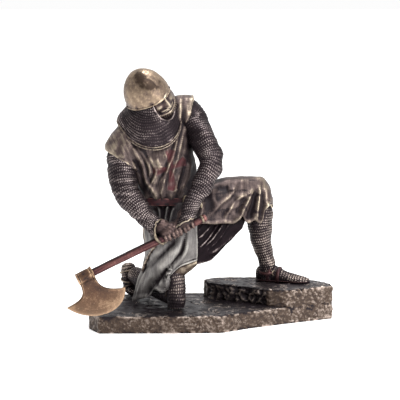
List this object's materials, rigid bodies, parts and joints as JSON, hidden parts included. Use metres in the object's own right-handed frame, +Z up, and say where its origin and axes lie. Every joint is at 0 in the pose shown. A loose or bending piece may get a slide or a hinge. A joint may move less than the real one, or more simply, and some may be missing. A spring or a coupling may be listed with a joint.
{
  "type": "kneeling medieval knight statuette",
  "caption": "Bronze-finished statuette of a mail-clad medieval knight on one knee, both fists on a broad battle axe, the raised foot on a rock step of its plinth.",
  "frame": {"origin": "on the underside of the plinth, below the middle of the figure and axe taken together", "axes": "+Z up, -Y towards the viewer of the front, +X towards the rock step and the raised foot"},
  "size_m": [0.1804, 0.0909, 0.1752],
  "materials": {
    "figure_bronze": "antique bronze patina, rubbed light on the high parts",
    "axe_bronze": "brown and copper bronze, bright at the cutting edge",
    "plinth_bronze": "rough cast, dark brown with grey-silver rubbed ridges"
  },
  "bodies": {
    "root": {"plinth": "plinth_bronze", "knight": "figure_bronze", "battle_axe": "axe_bronze"}
  },
  "joints": []
}
